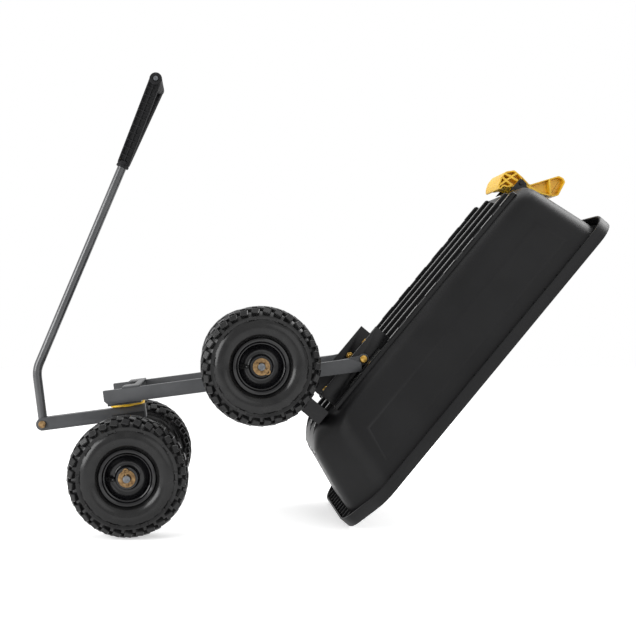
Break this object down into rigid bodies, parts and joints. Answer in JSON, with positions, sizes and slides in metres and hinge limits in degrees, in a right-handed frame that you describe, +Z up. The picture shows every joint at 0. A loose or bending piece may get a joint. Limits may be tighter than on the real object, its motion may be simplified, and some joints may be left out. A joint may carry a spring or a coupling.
{
  "type": "tipping dump cart",
  "caption": "Hand-pulled garden dump cart with a moulded plastic tub on a steel chassis, pneumatic wheels and a folding pull handle, shown tipped on its lip.",
  "frame": {"origin": "floor under the middle of the whole cart in the tipped pose", "axes": "+X from the handle to the tipped tub, +Y across the cart to its left side, +Z up"},
  "size_m": [1.3465, 0.5412, 1.0691],
  "materials": {
    "frame_grey": "satin powder coat",
    "frame_black": "satin powder coat",
    "zinc_yellow": "yellow zinc",
    "zinc_copper": "coppery zinc",
    "steel_bright": "bright steel",
    "tub_plastic": "textured polyethylene",
    "yellow_plastic": "satin",
    "grip_plastic": "textured",
    "tyre_rubber": "matt rubber",
    "rim_black": "gloss",
    "valve_rubber": "matt"
  },
  "bodies": {
    "chassis": {"rail_left": "frame_grey", "rail_right": "frame_grey", "head_channel": "frame_grey", "cross_tube": "frame_grey", "striker_plate": "frame_black", "kingpin_bolt": "zinc_yellow", "kingpin_nut": "zinc_yellow", "pivot_bolts": "zinc_yellow", "pivot_nuts": "zinc_yellow"},
    "tub_body": {"tub": "tub_plastic", "bracket_left": "frame_black", "bracket_right": "frame_black", "floor_bolts": "zinc_yellow", "axle_carrier": "frame_black", "rear_axles": "steel_bright", "rear_collars": "frame_black", "rear_washers": "zinc_yellow", "rear_cotters": "steel_bright", "lever_bracket": "frame_black", "lever_pin": "steel_bright"},
    "steering": {"steering_disc": "yellow_plastic", "tongue": "frame_grey", "front_axle_carrier": "frame_black", "front_axle": "steel_bright", "front_collars": "frame_black", "front_washers": "zinc_yellow", "front_cotters": "steel_bright", "handle_bolt": "zinc_copper", "handle_nut": "zinc_yellow"},
    "handle": {"handle_tube": "frame_grey", "grip_frame": "grip_plastic", "grip_sleeve": "grip_plastic", "grip_screws": "steel_bright"},
    "lever": {"release_lever": "yellow_plastic"},
    "front_left_wheel": {"front_left_tyre": "tyre_rubber", "front_left_rim": "rim_black", "front_left_bearings": "steel_bright", "front_left_valve": "valve_rubber"},
    "front_right_wheel": {"front_right_tyre": "tyre_rubber", "front_right_rim": "rim_black", "front_right_bearings": "steel_bright", "front_right_valve": "valve_rubber"},
    "rear_left_wheel": {"rear_left_tyre": "tyre_rubber", "rear_left_rim": "rim_black", "rear_left_bearings": "steel_bright", "rear_left_valve": "valve_rubber"},
    "rear_right_wheel": {"rear_right_tyre": "tyre_rubber", "rear_right_rim": "rim_black", "rear_right_bearings": "steel_bright", "rear_right_valve": "valve_rubber"}
  },
  "joints": [
    {"name": "tub_tip", "type": "hinge", "parent": "chassis", "child": "tub_body", "pos_m": [0.11798, 0, 0.38865], "axis": [0, 1, 0], "range_deg": [-137.2, 0]},
    {"name": "steer", "type": "hinge", "parent": "chassis", "child": "steering", "pos_m": [-0.44232, 0, 0.28429], "axis": [-0.1268, 0, 0.9919], "range_deg": [-35, 35]},
    {"name": "handle_fold", "type": "hinge", "parent": "steering", "child": "handle", "pos_m": [-0.6449, 0, 0.22866], "axis": [0, -1, 0], "range_deg": [0, 100]},
    {"name": "lever_press", "type": "hinge", "parent": "tub_body", "child": "lever", "pos_m": [0.50995, 0, 0.81041], "axis": [0, 1, 0], "range_deg": [0, 22], "stiffness_Nm_per_rad": 1.5, "springref_deg": -28.65},
    {"name": "front_left_spin", "type": "hinge", "parent": "steering", "child": "front_left_wheel", "pos_m": [-0.42324, 0.22, 0.135], "axis": [0, 1, 0], "continuous": true},
    {"name": "front_right_spin", "type": "hinge", "parent": "steering", "child": "front_right_wheel", "pos_m": [-0.42324, -0.22, 0.135], "axis": [0, 1, 0], "continuous": true},
    {"name": "rear_left_spin", "type": "hinge", "parent": "tub_body", "child": "rear_left_wheel", "pos_m": [-0.12954, 0.22, 0.378], "axis": [0, 1, 0], "continuous": true},
    {"name": "rear_right_spin", "type": "hinge", "parent": "tub_body", "child": "rear_right_wheel", "pos_m": [-0.12954, -0.22, 0.378], "axis": [0, 1, 0], "continuous": true}
  ]
}
